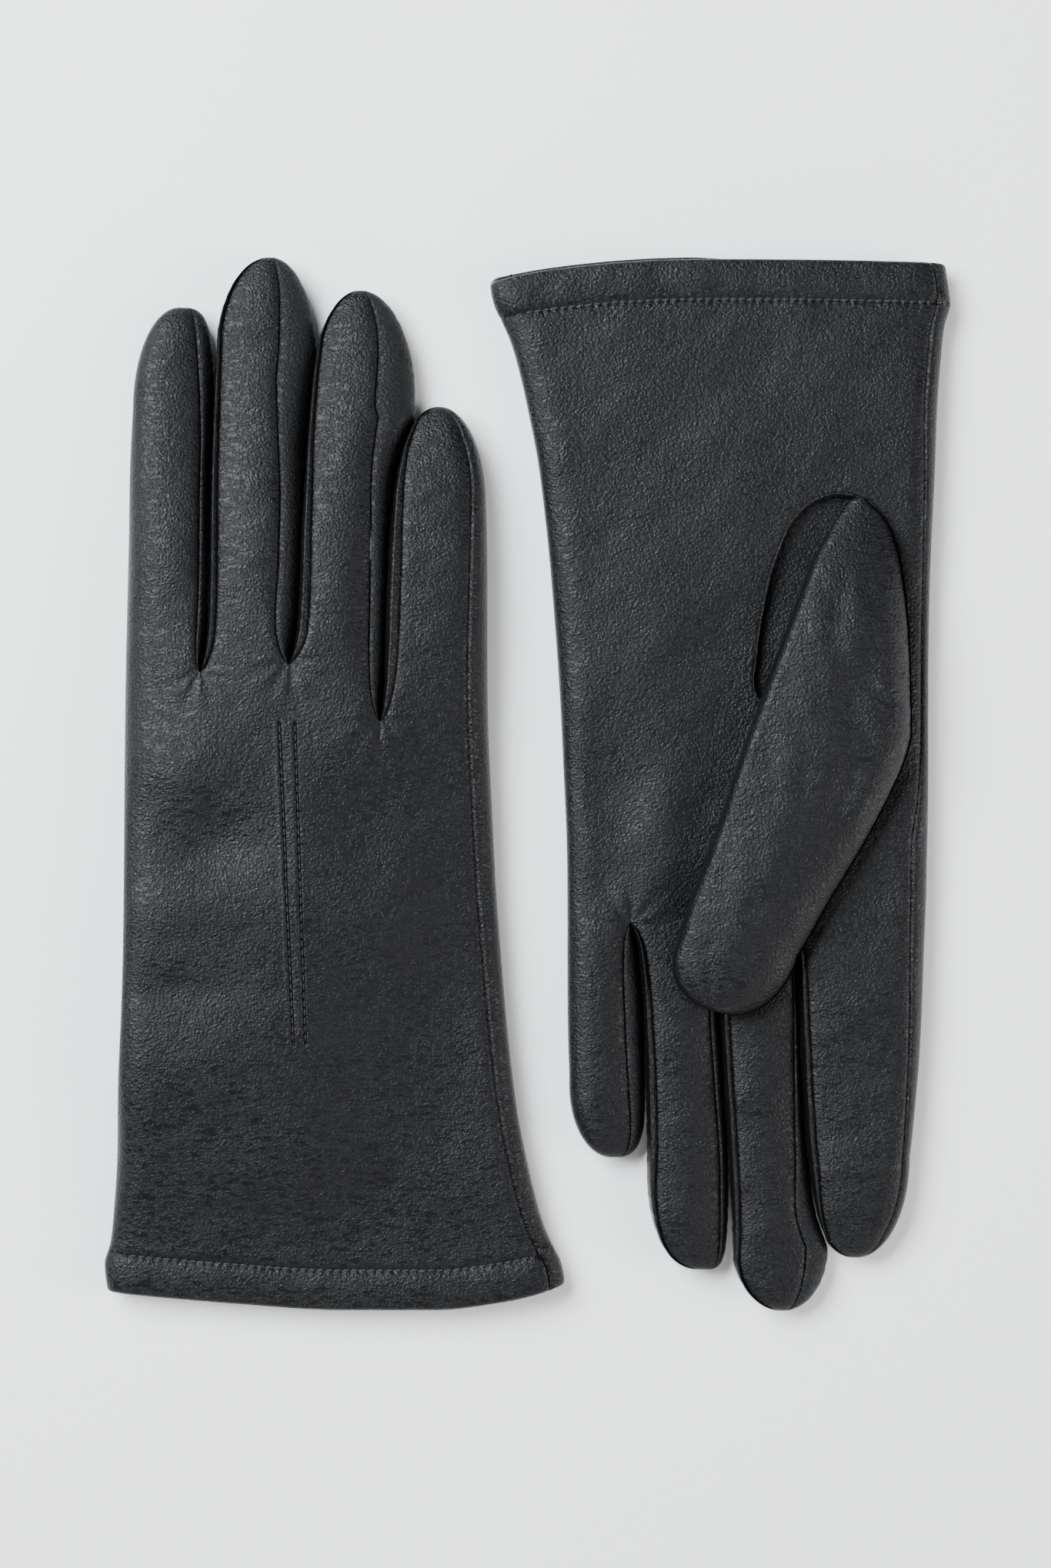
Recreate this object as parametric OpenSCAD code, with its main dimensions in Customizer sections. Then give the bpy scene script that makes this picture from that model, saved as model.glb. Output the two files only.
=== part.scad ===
// A pair of lined leather gloves, laid flat beside each other on a table.
// The right glove lies back up with its fingers towards +Y and its thumb folded under the palm.
// The left glove lies palm up with its fingers towards -Y and its thumb folded over the palm.
//
// Each glove is drawn once in its own flat coordinates, in millimetres:
//   u runs across the hand from the index side (-) to the little-finger side (+),
//   v runs from the cuff edge (0) to the fingertips,
//   w runs from the outer face of the back (0) through the hand to the palm and the thumb.

/* [Leather] */
// Thickness of the leather
leather_t = 0.9; // [0.6:0.1:1.2]
// Thickness of the knitted lining
lining_t = 1.1; // [0.8:0.1:1.4]
// Gap between layers that lie on each other
ply_gap = 0.05; // [0.02:0.01:0.1]

/* [Hand] */
// Thickness of the whole hand as it lies, back to palm
hand_t = 10.6; // [9.6:0.1:13]
// How far the palm panel comes round onto the back along the little finger
little_wrap = 4.8; // [3:0.1:6]
// How far the back panel comes round onto the palm along the index finger
index_wrap = 3; // [2:0.1:4]
// Width of the folded hem round the cuff
hem_w = 9.5; // [7:0.1:12]
// Distance between stitches
stitch_pitch = 2; // [1.6:0.1:3]

/* [Thumb] */
// Thickness of the thumb as it lies folded over or under the palm
thumb_t = 9; // [8.4:0.1:12]
// Clearance between the thumb and the palm
thumb_clear = 0.3; // [0.2:0.05:0.6]

/* [Layout] */
// Distance between the middle lines of the two gloves
pair_pitch = 103; // [100:1:130]
// Length of a glove from the cuff edge to the middle fingertip
glove_l = 248.2; // [248.2:0.1:249]
// Gap between two fingers
finger_gap = 0.6; // [0.5:0.1:1.2]

/* [Hidden] */
$fn = 48;
fingers = ["index", "middle", "ring", "little"];
hand_parts = ["back_panel", "palm_panel", "cuff_hem", "hem_stitching", "pintucks", "side_seams",
              "index_middle_fourchette", "middle_ring_fourchette", "ring_little_fourchette",
              "back_lining", "palm_lining", "thumb_gusset"];
finger_parts = ["sheath", "fourchettes", "lining"];
thumb_parts = ["thumb_stall", "thumb_underside", "thumb_lining", "thumb_seam"];

black = [0.13, 0.13, 0.14];
dark = [0.10, 0.10, 0.11];
knit = [0.20, 0.20, 0.21];
thread = [0.05, 0.05, 0.06];

total_t = hand_t + thumb_clear + thumb_t;
thumb_w = hand_t + thumb_clear;
lining_w = leather_t + ply_gap;
inner_w = lining_w + lining_t;
groove_d = 0.35;
thread_t = 0.3;
hem_start = 3;
hem_slack = 0.35;
lining_start = hem_start + hem_w + ply_gap;

// The two long edges of a hand, from the cuff to above the knuckles
index_edge = [[-48, 4.5], [-48.1, 10], [-46.7, 16], [-45.2, 34], [-44, 60], [-43, 90], [-42.8, 155]];
little_edge = [[60, 6], [59.2, 11.5], [55.5, 20.5], [51, 38.5], [47.5, 60], [44.6, 92], [42.8, 125],
               [42.2, 155]];
// The cuff edge between them, from the little-finger side back to the index side
cuff_edge = [[52, 3.2], [30, 0.6], [8, 0.6], [-21, 2]];
// The top of the hand between the fingers, from the index side
knuckle_line = [[-42.8, 149], [-24.7, 149], [-22, 151], [-4.9, 151], [-2, 148], [13, 139], [42.5, 139]];

// Each finger: [left and right edge at the knuckle, left and right edge at the tip, v at the knuckle,
// v where the tip starts to round, v of the tip, v of the flex line]
function finger(glove, i) = glove == "right" ? right_fingers[i] : left_fingers[i];
right_fingers = [[-42.8, -22, -41, -21.6, 149, 218, 236.2, 187],
                 [-22, -4, -21.6, 2, 151, 228, 248.2, 191],
                 [-4, 17, 2, 23.5, 147, 221, 240, 188],
                 [17, 42.3, 22, 41, 139, 197, 212.8, 172]];
left_fingers = [[-42.8, -13.2, -41, -19.8, 149, 218, 236.2, 187],
                [-13.2, 5, -19.8, 2.4, 151, 228, 248.2, 191],
                [5, 24, 2.4, 21.6, 147, 221, 240, 188],
                [24, 42.3, 23, 41, 139, 197, 212.8, 172]];

// Outline of a folded thumb, from its base round its inner edge, its tip and its outer edge
thumb_outline = [[-31, 60], [-26, 57], [-20, 63.5], [-12, 80], [-3.5, 103], [6, 131], [12.5, 148],
                 [17, 162], [16.5, 168], [12, 174.5], [4.5, 178], [-4, 174], [-11.5, 164],
                 [-18.5, 152], [-32, 129], [-38, 115], [-38.5, 104], [-37, 79], [-34, 65]];
// The almond-shaped hole in the palm that the thumb opens into
hole_at = [-22, 80];
hole_l = 36;
hole_wide = 17;
hole_turn = -16;
gusset_rim = 2.4;

// How far a finger's outline reaches down into the hand's
root_l = 10;
// Half the width over which a fourchette stands on the top of the hand
root_side = 1.6;

// Pintucks on the back, each from its knuckle end to its cuff end
tuck_lines = [[[-6.2, 138], [-3, 62.8]], [[-2.6, 138.6], [-0.2, 62.8]]];
tuck_w = 1.1;

// Top of the hand at a given u
function knuckle_v(u) = lookup(u, knuckle_line);
// Edge u at a given v along a list of points
function along(edge, v) = lookup(v, [for (p = edge) [p[1], p[0]]]);
function reversed(list) = [for (i = [len(list) - 1:-1:0]) list[i]];

// Places a glove's flat coordinates on the table
module place(glove) {
    if (glove == "right")
        translate([-pair_pitch / 2, -glove_l / 2 + 0.1, total_t]) mirror([0, 0, 1]) children();
    else
        translate([pair_pitch / 2, glove_l / 2 - 0.1, 0]) rotate([0, 0, 180]) children();
}

module ply(w0, w1) translate([0, 0, w0]) linear_extrude(w1 - w0) children();

// The hand's outline without fingers, with its edges moved in by inset
module hand_outline(left_inset = 0, right_inset = 0, bottom = 0) {
    polygon(concat([for (p = index_edge) if (p[1] < 149) [p[0] + left_inset, p[1] + bottom]],
                   [for (p = knuckle_line) [min(max(p[0], along(index_edge, p[1]) + left_inset),
                                                along(little_edge, p[1]) - right_inset), p[1]]],
                   [for (p = reversed(little_edge)) if (p[1] < 139) [p[0] - right_inset, p[1] + bottom]],
                   [for (p = cuff_edge) [p[0], p[1] + bottom]]));
}

// A band across the hand from v0 to v1
module across(v0, v1) translate([-70, v0]) square([140, v1 - v0]);

// Half the gap on the sides where a finger has a neighbour
function side_gap(i, right) = (right ? i < 3 : i > 0) ? finger_gap / 2 : 0;

// A finger's left and right edge at v, moved in by inset
function finger_side(f, i, v, right, inset) =
    let (t = (v - f[4]) / (f[5] - f[4]), a = f[right ? 1 : 0], b = f[right ? 3 : 2],
         edge = a + (b - a) * t, in = inset + side_gap(i, right))
    right ? edge - in : edge + in;

// The part of a finger between two v values, both below the rounding of its tip
module finger_strip(f, i, v0, v1, inset = 0) {
    polygon([[finger_side(f, i, v0, false, inset), v0], [finger_side(f, i, v1, false, inset), v1],
             [finger_side(f, i, v1, true, inset), v1], [finger_side(f, i, v0, true, inset), v0]]);
}

// A finger from v0 to its rounded tip
module finger_outline(f, i, v0, inset = 0) {
    left = finger_side(f, i, f[5], false, inset);
    right = finger_side(f, i, f[5], true, inset);
    middle = (left + right) / 2;
    polygon(concat([[finger_side(f, i, v0, true, inset), v0]],
                   [for (a = [0:12:180]) [middle + (right - left) / 2 * cos(a),
                                          f[5] + (f[6] - inset - f[5]) * sin(a)]],
                   [[finger_side(f, i, v0, false, inset), v0]]));
}

// The hand with the four fingers up to their flex lines
module hand_and_fingers(glove, left_inset = 0, right_inset = 0, finger_inset = 0, bottom = 0) {
    hand_outline(left_inset, right_inset, bottom);
    for (i = [0:3]) {
        f = finger(glove, i);
        finger_strip(f, i, f[4] - root_l, f[7], finger_inset);
    }
}

// A narrow strip beside a long edge, between two distances in from it
module edge_strip(edge, sign, near, far, v0, v1) {
    intersection() {
        polygon(concat([for (p = edge) [p[0] + sign * near, p[1]]],
                       [for (p = reversed(edge)) [p[0] + sign * far, p[1]]]));
        across(v0, v1);
    }
}

// The almond-shaped hole, grown by extra
module thumb_hole(extra = 0) {
    translate(hole_at) rotate(hole_turn) intersection_for(side = [-1, 1])
        translate([side * (hole_l * hole_l / hole_wide / 4 - hole_wide / 4), 0])
            circle(hole_l * hole_l / hole_wide / 4 + hole_wide / 4 + extra, $fn = 120);
}

// The shallow groove that the hem's stitches sink into
module hem_line(width) {
    polygon(concat([for (u = [-46:8:58]) [u, hem_v(u) - width / 2]],
                   [for (u = [58:-8:-46]) [u, hem_v(u) + width / 2]]));
}
function hem_v(u) = 9.3 + 4.2 * pow((u - 10) / 56, 2);

module tuck(line, width) {
    d = line[1] - line[0];
    translate(line[0]) rotate(atan2(d[1], d[0])) translate([0, -width / 2]) square([norm(d), width]);
}

module back_panel(glove) {
    f = finger(glove, 0);
    color(black) difference() {
        union() {
            ply(0, leather_t) difference() {
                hand_and_fingers(glove);
                edge_strip(little_edge, -1, -1, little_wrap, 0, 155);
            }
            ply(0, hand_t) edge_strip(index_edge, 1, 0, leather_t, 4.5, 149);
            ply(0, hand_t - leather_t - ply_gap) difference() {
                finger_strip(f, 0, 149, f[7]);
                translate([leather_t, 0]) finger_strip(f, 0, 148, f[7] + 1);
            }
            ply(hand_t - leather_t, hand_t) edge_strip(index_edge, 1, 0, index_wrap, 4.5, 149);
        }
        ply(-1, groove_d) hem_line(0.8);
        ply(hand_t - groove_d, hand_t + 1) hem_line(0.8);
        for (line = tuck_lines) ply(-1, groove_d) tuck(line, tuck_w + 0.1);
    }
}

module palm_panel(glove) {
    color(black) difference() {
        union() {
            ply(hand_t - leather_t, hand_t) difference() {
                hand_and_fingers(glove);
                edge_strip(index_edge, 1, -1, index_wrap + 0.4, 0, 149);
                thumb_hole(gusset_rim);
            }
            ply(0, hand_t) edge_strip(little_edge, -1, 0, leather_t, 6, 150);
            ply(0, leather_t) edge_strip(little_edge, -1, 0, little_wrap - 0.4, 6, 150);
        }
        ply(hand_t - groove_d, hand_t + 1) hem_line(0.8);
        ply(-1, groove_d) hem_line(0.8);
    }
}

module cuff_hem(glove) {
    edge = leather_t + ply_gap;
    inner = edge + leather_t + hem_slack;
    color(dark) difference() {
        ply(edge, hand_t - edge) intersection() {
            hand_outline(edge + hem_slack, edge + hem_slack, 0.6);
            across(0, hem_start + hem_w);
        }
        ply(edge + leather_t, hand_t - edge - leather_t) intersection() {
            hand_outline(inner, inner, -1);
            across(-5, hem_start + hem_w + 1);
        }
    }
}

// Stitches round the hem, sunk in their groove on the back and on the palm
module hem_stitching(glove) {
    color(thread)
        for (w = [groove_d - thread_t, hand_t - groove_d])
            for (u = [-44:stitch_pitch:54])
                if (w > 1 || abs(u - 52) > 1.2)
                    translate([u - stitch_pitch * 0.35, hem_v(u) - 0.2, w])
                        cube([stitch_pitch * 0.7, 0.4, thread_t]);
}

module pintucks(glove) {
    color(dark) for (line = tuck_lines) ply(groove_d - thread_t, groove_d) tuck(line, tuck_w);
}

// The sewing that closes the panels along both sides
module side_seams(glove) {
    color(thread) {
        ply(0.2, 0.2 + thread_t) edge_strip(little_edge, -1, little_wrap - 0.3, little_wrap - 0.1, 14, 149);
        ply(hand_t - 0.2 - thread_t, hand_t - 0.2)
            edge_strip(index_edge, 1, index_wrap + 0.1, index_wrap + 0.3, 16, 148);
    }
}

// The gusset between finger i and the next one, as far as their flex lines
module hand_fourchette(glove, i) {
    a = finger(glove, i);
    b = finger(glove, i + 1);
    foot = max(knuckle_v(a[1] - root_side), knuckle_v(a[1] + root_side));
    top = foot + 2 * leather_t;
    color(dark) ply(leather_t + ply_gap, hand_t - leather_t - ply_gap) {
        difference() {
            finger_strip(a, i, foot, a[7]);
            translate([-leather_t, 0]) finger_strip(a, i, foot - 1, a[7] + 1);
        }
        difference() {
            finger_strip(b, i + 1, foot, b[7]);
            translate([leather_t, 0]) finger_strip(b, i + 1, foot - 1, b[7] + 1);
        }
        polygon([[finger_side(a, i, foot, true, leather_t), foot], [finger_side(a, i, top, true, leather_t), top],
                 [finger_side(b, i + 1, top, false, leather_t), top],
                 [finger_side(b, i + 1, foot, false, leather_t), foot]]);
    }
}

// Side walls of the lining beside the fourchettes
module lining_walls(glove) {
    for (i = [0:3]) {
        f = finger(glove, i);
        v0 = f[4] + 2;
        ply(inner_w + ply_gap, hand_t - inner_w) difference() {
            finger_strip(f, i, v0, f[7], lining_w);
            finger_strip(f, i, v0 - 1, f[7] + 1, inner_w);
        }
    }
}

module back_lining(glove) {
    color(knit) {
        ply(lining_w, inner_w) intersection() {
            hand_and_fingers(glove, lining_w, lining_w, lining_w);
            across(lining_start, 200);
        }
        ply(inner_w + ply_gap, hand_t - inner_w)
            edge_strip(index_edge, 1, lining_w, inner_w, lining_start, 149);
        lining_walls(glove);
    }
}

module palm_lining(glove) {
    color(knit) difference() {
        union() {
            ply(hand_t - inner_w + ply_gap, hand_t - lining_w) intersection() {
                hand_and_fingers(glove, lining_w, lining_w, lining_w);
                across(lining_start, 200);
            }
            ply(inner_w + ply_gap, hand_t - inner_w + ply_gap)
                edge_strip(little_edge, -1, lining_w, inner_w, lining_start, 138);
        }
        ply(hand_t - inner_w - 1, hand_t) thumb_hole();
    }
}

// The leather ring that joins the thumb to its hole in the palm
module thumb_gusset(glove) {
    color(dark) ply(hand_t - leather_t, hand_t) difference() {
        thumb_hole(gusset_rim - ply_gap);
        thumb_hole();
    }
}

// A finger's leather beyond its flex line: its back, its palm side, its tip and its outer wall
module finger_sheath(glove, i) {
    f = finger(glove, i);
    color(black) difference() {
        ply(0, hand_t) finger_outline(f, i, f[7] + 0.2);
        ply(leather_t, hand_t - leather_t) finger_outline(f, i, f[7] - 1, leather_t);
        if (i > 0) ply(leather_t, hand_t - leather_t) translate([-30, 0]) finger_window(f, i);
        if (i < 3) ply(leather_t, hand_t - leather_t) translate([30, 0]) finger_window(f, i);
    }
}

// A block that takes away a finger's side wall when it is moved half over the finger's edge
module finger_window(f, i) {
    middle = (finger_side(f, i, f[7], false, 0) + finger_side(f, i, f[7], true, 0)) / 2;
    translate([middle - 30, f[7] - 1]) square([60, f[5] - f[7] + 1]);
}

module finger_fourchettes(glove, i) {
    f = finger(glove, i);
    color(dark) ply(leather_t + ply_gap, hand_t - leather_t - ply_gap) {
        if (i > 0) difference() {
            finger_strip(f, i, f[7] + 0.2, f[5] - ply_gap);
            translate([leather_t, 0]) finger_strip(f, i, f[7] - 1, f[5] + 1);
        }
        if (i < 3) difference() {
            finger_strip(f, i, f[7] + 0.2, f[5] - ply_gap);
            translate([-leather_t, 0]) finger_strip(f, i, f[7] - 1, f[5] + 1);
        }
    }
}

module finger_lining(glove, i) {
    f = finger(glove, i);
    color(knit) difference() {
        ply(lining_w, hand_t - lining_w) finger_outline(f, i, f[7] + 0.2, lining_w + ply_gap);
        ply(inner_w, hand_t - inner_w) finger_outline(f, i, f[7] - 1, inner_w + ply_gap);
    }
}

module thumb_shape(inset = 0) offset(delta = -inset) polygon(thumb_outline);

// The thumb's outer face and its walls
module thumb_stall(glove) {
    color(black) difference() {
        ply(thumb_w + leather_t + ply_gap, thumb_w + thumb_t) thumb_shape();
        ply(thumb_w, thumb_w + thumb_t - leather_t) thumb_shape(leather_t);
    }
}

// The thumb's face against the palm, open over the hole in the palm
module thumb_underside(glove) {
    color(black) ply(thumb_w, thumb_w + leather_t) difference() {
        thumb_shape();
        thumb_hole();
    }
}

module thumb_lining(glove) {
    color(knit) difference() {
        ply(thumb_w + lining_w, thumb_w + thumb_t - lining_w) thumb_shape(lining_w);
        ply(thumb_w + inner_w, thumb_w + thumb_t - inner_w) thumb_shape(inner_w);
        ply(thumb_w, thumb_w + thumb_t / 2) thumb_hole();
    }
}

// The sewing that joins the thumb's two faces along its inner edge
module thumb_seam(glove) {
    color(thread) ply(thumb_w + leather_t, thumb_w + leather_t + ply_gap) intersection() {
        difference() {
            thumb_shape(0.3);
            thumb_shape(0.7);
        }
        polygon([[-20, 64], [20, 165], [40, 165], [40, 64]]);
    }
}

// Draws one node of one glove
module glove_node(glove, part) {
    place(glove) {
        if (part == "back_panel") back_panel(glove);
        if (part == "palm_panel") palm_panel(glove);
        if (part == "cuff_hem") cuff_hem(glove);
        if (part == "hem_stitching") hem_stitching(glove);
        if (part == "pintucks") pintucks(glove);
        if (part == "side_seams") side_seams(glove);
        if (part == "index_middle_fourchette") hand_fourchette(glove, 0);
        if (part == "middle_ring_fourchette") hand_fourchette(glove, 1);
        if (part == "ring_little_fourchette") hand_fourchette(glove, 2);
        if (part == "back_lining") back_lining(glove);
        if (part == "palm_lining") palm_lining(glove);
        if (part == "thumb_gusset") thumb_gusset(glove);
        if (part == "thumb_stall") thumb_stall(glove);
        if (part == "thumb_underside") thumb_underside(glove);
        if (part == "thumb_lining") thumb_lining(glove);
        if (part == "thumb_seam") thumb_seam(glove);
        for (i = [0:3]) {
            if (part == str(fingers[i], "_sheath")) finger_sheath(glove, i);
            if (part == str(fingers[i], "_fourchettes")) finger_fourchettes(glove, i);
            if (part == str(fingers[i], "_lining")) finger_lining(glove, i);
        }
    }
}

for (glove = ["right", "left"])
    for (part = concat(hand_parts, thumb_parts, [for (f = fingers) for (p = finger_parts) str(f, "_", p)]))
        glove_node(glove, part);
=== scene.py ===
"""A pair of black nappa gloves laid flat: the right one back up, the left one palm up.

Each glove is worked out in its own flat millimetre coordinates and then placed in the CAD frame:
u runs across the hand from the index side to the little-finger side, v from the cuff to the fingertips,
and z is the height above the table. "Top" is the side that faces up and "bottom" the side on the table.
"""
import math

import bpy
import numpy as np
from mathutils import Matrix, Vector


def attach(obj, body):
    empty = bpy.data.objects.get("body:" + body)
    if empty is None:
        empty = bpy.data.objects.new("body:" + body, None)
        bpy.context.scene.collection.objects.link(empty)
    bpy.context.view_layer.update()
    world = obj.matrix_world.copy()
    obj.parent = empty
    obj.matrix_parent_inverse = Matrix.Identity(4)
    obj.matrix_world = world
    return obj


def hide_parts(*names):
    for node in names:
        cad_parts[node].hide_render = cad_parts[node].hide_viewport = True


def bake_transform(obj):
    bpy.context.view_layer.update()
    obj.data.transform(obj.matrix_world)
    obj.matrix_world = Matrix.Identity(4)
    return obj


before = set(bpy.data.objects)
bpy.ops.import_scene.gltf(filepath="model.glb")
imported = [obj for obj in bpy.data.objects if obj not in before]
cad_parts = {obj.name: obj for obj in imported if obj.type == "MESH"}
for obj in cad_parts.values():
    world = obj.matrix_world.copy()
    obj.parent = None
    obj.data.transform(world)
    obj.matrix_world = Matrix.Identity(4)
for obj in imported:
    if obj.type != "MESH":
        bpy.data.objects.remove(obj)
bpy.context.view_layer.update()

# -------------------- sizes, in millimetres
PAIR_PITCH = 103.0      # between the two gloves' middle lines
GLOVE_MIDDLE = 124.0    # v of the frame's y = 0
HEM = 9.5               # width of the folded hem
STITCH = 2.0            # stitch pitch
ROW = 0.6               # mesh spacing along the glove
SIDE_R = 7.5            # how far the rolled long edges reach in
FLEX_HALF = 12.0        # half the length over which a finger bends
FLEX_Z = 8.0            # height of the two ends of that length
TURN_IN = 1.1           # depth to which a seam's edges turn in
HEM_END = HEM + 3.0     # the hem piece reaches this far, past the dimples of its stitching
PLY = 1.7               # thickness of two plies of leather
SHOULDER = 0.87         # how square a rolled edge is, 1 being a half circle
UNSHOULDER = 1.15       # its inverse, rounded
WAVE = 6.283            # radians in one repeat of a wave, rounded
FINGERS = ("index", "middle", "ring", "little")
FLEX_V = {"index": 187.0, "middle": 191.0, "ring": 188.0, "little": 172.0}


def curve(*points):
    """Smooth curve through (place, value) points, constant beyond its ends."""
    at, value = np.array(points, float).T
    gap = np.diff(at)
    slope = np.diff(value) / gap
    tangent = np.concatenate([[slope[0]], (slope[:-1] + slope[1:]) / 2, [slope[-1]]])
    turning = np.concatenate([[False], slope[:-1] * slope[1:] <= 0, [False]])
    tangent[turning] = 0

    def value_at(x):
        x = np.clip(x, at[0], at[-1])
        i = np.clip(np.searchsorted(at, x) - 1, 0, len(gap) - 1)
        s = (x - at[i]) / gap[i]
        return ((1 + 2 * s) * (1 - s) ** 2 * value[i] + s * (1 - s) ** 2 * gap[i] * tangent[i]
                + s * s * (3 - 2 * s) * value[i + 1] + s * s * (s - 1) * gap[i] * tangent[i + 1])
    return value_at


def smooth(a, b, x):
    """0 up to a, 1 from b on, and a smooth step between them."""
    t = np.clip((x - a) / (b - a), 0, 1)
    return t * t * (3 - 2 * t)


def bump(u, v, at_u, at_v, size_u, size_v):
    """A soft round swelling, 1 at its middle."""
    return np.exp(-((u - at_u) / size_u) ** 2 - ((v - at_v) / size_v) ** 2)


def ripples(u, v, seed, length, count=7):
    """Slow irregular swell, from -1 to 1, of about that wavelength."""
    rng = np.random.default_rng(seed)
    total = np.zeros(np.broadcast(u, v).shape)
    for angle, phase, stretch in zip(rng.uniform(0, 3.14, count), rng.uniform(0, 6.28, count),
                                     rng.uniform(0.6, 1.6, count)):
        k = WAVE / (length * stretch)
        total = total + np.sin(k * (u * math.cos(angle) + v * math.sin(angle)) + phase)
    return total / count * 1.6


# -------------------- outlines
# The long edges of a hand, as (v, u); the index finger's and little finger's outer edges carry on from them.
index_edge = curve((0, -46.6), (4.5, -47.4), (11, -48.1), (16, -46.8), (25, -45.8), (34, -45.1), (52, -44.4),
                   (70, -43.5), (88, -43), (124, -42.9), (150, -42.8), (182, -42.2), (200, -42),
                   (216, -41.2))
little_edge = curve((0, 60.3), (7, 60.2), (11.5, 59.2), (16, 57.3), (20.5, 55.5), (29.5, 53), (38.5, 51),
                    (47.5, 49.2), (65.5, 46.9), (83.5, 45.3), (101.5, 44), (119.5, 43.1), (137.5, 42.3),
                    (182, 42), (192, 41.7))
left_index_edge = curve((150, -42.3), (165, -41.8), (188, -40.8), (205, -39.3), (212, -38.5))

# How each glove is turned in the frame, and its fingers. A finger's ridge is on its low side where it is -1.
GLOVES = {
    "right": {
        "turn": 1, "ridge": -1,
        # where two fingers meet, as (v, u) from the crotch up
        "between": [curve((150, -24.7), (156, -23.6), (165, -23), (200, -22.7), (222, -21.9), (232, -21.5)),
                    curve((152, -3.9), (157, -2.9), (162, -2.3), (184, -1.3), (207, -0.1), (220, 1.1),
                          (230, 2.6)),
                    curve((138.5, 17.2), (143, 17.6), (170, 18.5), (185, 19.3), (195, 20.4), (204, 22.6),
                          (210, 25.2))],
        "crotch": [150.0, 152.0, 138.5],
        # v where the tip starts to round, tip u, tip v, squareness of the low and high side
        "tips": [(212, -30.5, 236.2, 2.0, 3.6), (225, -8.9, 248.0, 2.0, 2.0), (214, 12.3, 240.2, 2.0, 2.0),
                 (190, 30.8, 212.8, 2.0, 2.0)],
        # top seams, as distances in from the finger's low and high side, along v
        "low_seam": [None, curve((150, 1.0), (160, 1.9), (200, 1.7), (230, 1.2)),
                     curve((152, 1.4), (160, 2.7), (184, 2.4), (207, 1.6), (230, 1.0)),
                     curve((139, 1.2), (150, 2.8), (172, 3.3), (190, 2.6), (204, 1.6))],
        "high_seam": [curve((150, 1.2), (160, 2.4), (200, 2.4), (215, 3.2), (232, 4.6)),
                      curve((152, 1.8), (160, 4.6), (177, 4.9), (192, 5.3), (207, 6.8), (225, 8.7),
                            (240, 8.0)),
                      curve((139, 1.2), (147, 2.9), (170, 3.7), (185, 4.3), (195, 5.4), (204, 6.9),
                            (214, 9.4), (230, 8.0)), None],
        # how far one layer wraps round a long edge to its seam, along v
        "low_wrap": None,
        "high_wrap": curve((9, 3.6), (22, 4.2), (55, 4.4), (105, 4.6), (146, 4.7), (204, 2.9)),
    },
    "left": {
        "turn": -1, "ridge": 1,
        "between": [curve((160, -11.9), (166, -12.1), (176, -12.5), (202, -13.7), (212, -14.6),
                          (226, -16.8), (233, -19.4)),
                    curve((158, 7.6), (165, 6.9), (181, 6), (196, 5.1), (209, 4.3), (229, 3.4), (235, 3.2)),
                    curve((156.5, 27.3), (160, 26), (168, 24.9), (188, 23.9), (208, 23.5))],
        "crotch": [160.0, 158.0, 156.5],
        "tips": [(212, -26.0, 235.5, 2.0, 2.3), (233, -8.8, 248.0, 2.0, 2.0), (212, 10.5, 238.3, 4.5, 2.4),
                 (195, 31.8, 211.9, 3.4, 2.0)],
        "low_seam": [None,
                     curve((160, 0.9), (166, 1.3), (180, 1.4), (202, 2.3), (212, 3.0), (226, 5.1),
                           (236, 5.6)),
                     curve((158, 1.2), (181, 2.4), (209, 2.1), (231, 2.1)),
                     curve((157, 1.4), (161, 3.0), (181, 4.4), (206, 3.6))],
        "high_seam": [curve((160, 0.9), (168, 1.7), (180, 1.9), (202, 2.1), (216, 1.9), (232, 1.0)),
                      curve((158, 0.9), (170, 1.9), (196, 1.9), (229, 1.8), (240, 1.0)),
                      curve((157, 0.9), (165, 1.6), (180, 2.0), (192, 2.3), (206, 2.4), (220, 1.9),
                            (233, 1.0)), None],
        "low_wrap": curve((9, 3.4), (35, 3.3), (79, 1.9), (104, 1.9), (126, 2.6), (139, 4.1),
                          (183, 3.0), (212, 2.0)),
        "high_wrap": None,
    },
}


# How far the cuff edge curves up towards its two corners.
CUFF_RISE = {"right": curve((-48, 4.6), (-21, 2.2), (8.5, 0.4), (30, 0.4), (45, 2.1), (53, 3.8), (61, 6.4)),
             "left": curve((-48, 1.6), (-20, 0.9), (5, 0.7), (24, 1.1), (42, 2.7), (53, 4.4), (61, 6.3))}
RISE_END = {"right": 80, "left": 60}      # v above which the curve has died away
LEFT_BACK_EXTRA = 1.3                     # the left glove's back layer reaches this much further


def cuff_rise(g, u, v):
    """How far a point near the cuff is moved up along v."""
    return CUFF_RISE[g](u) * (1 - smooth(0, RISE_END[g], v))


def little_side(g, v):
    """u of the hand's edge on the little finger's side."""
    return little_edge(v + cuff_rise(g, np.array(58.0), v))


def to_frame(g, u, v, z):
    """Frame coordinates in metres of a point of glove g."""
    rise = cuff_rise(g, u, v)
    if g == "left":
        rise = rise - LEFT_BACK_EXTRA * smooth(-8, 14, u) * (1 - smooth(2.5, 5.5, z)) * (1 - smooth(0, 60, v))
    turn = GLOVES[g]["turn"]
    x = turn * (u - PAIR_PITCH / 2)
    y = turn * (v + rise - GLOVE_MIDDLE)
    return np.stack(np.broadcast_arrays(x, y, z), -1) * 0.001


# -------------------- heights
THUMB_FOOT = np.array([-29.0, 58.0])      # the thumb's own axis starts here and runs towards its tip
THUMB_DIR = np.array([0.297, 0.955])
THUMB_SIDE = np.array([0.955, -0.297])
THUMB_LEN = 124.6


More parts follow.
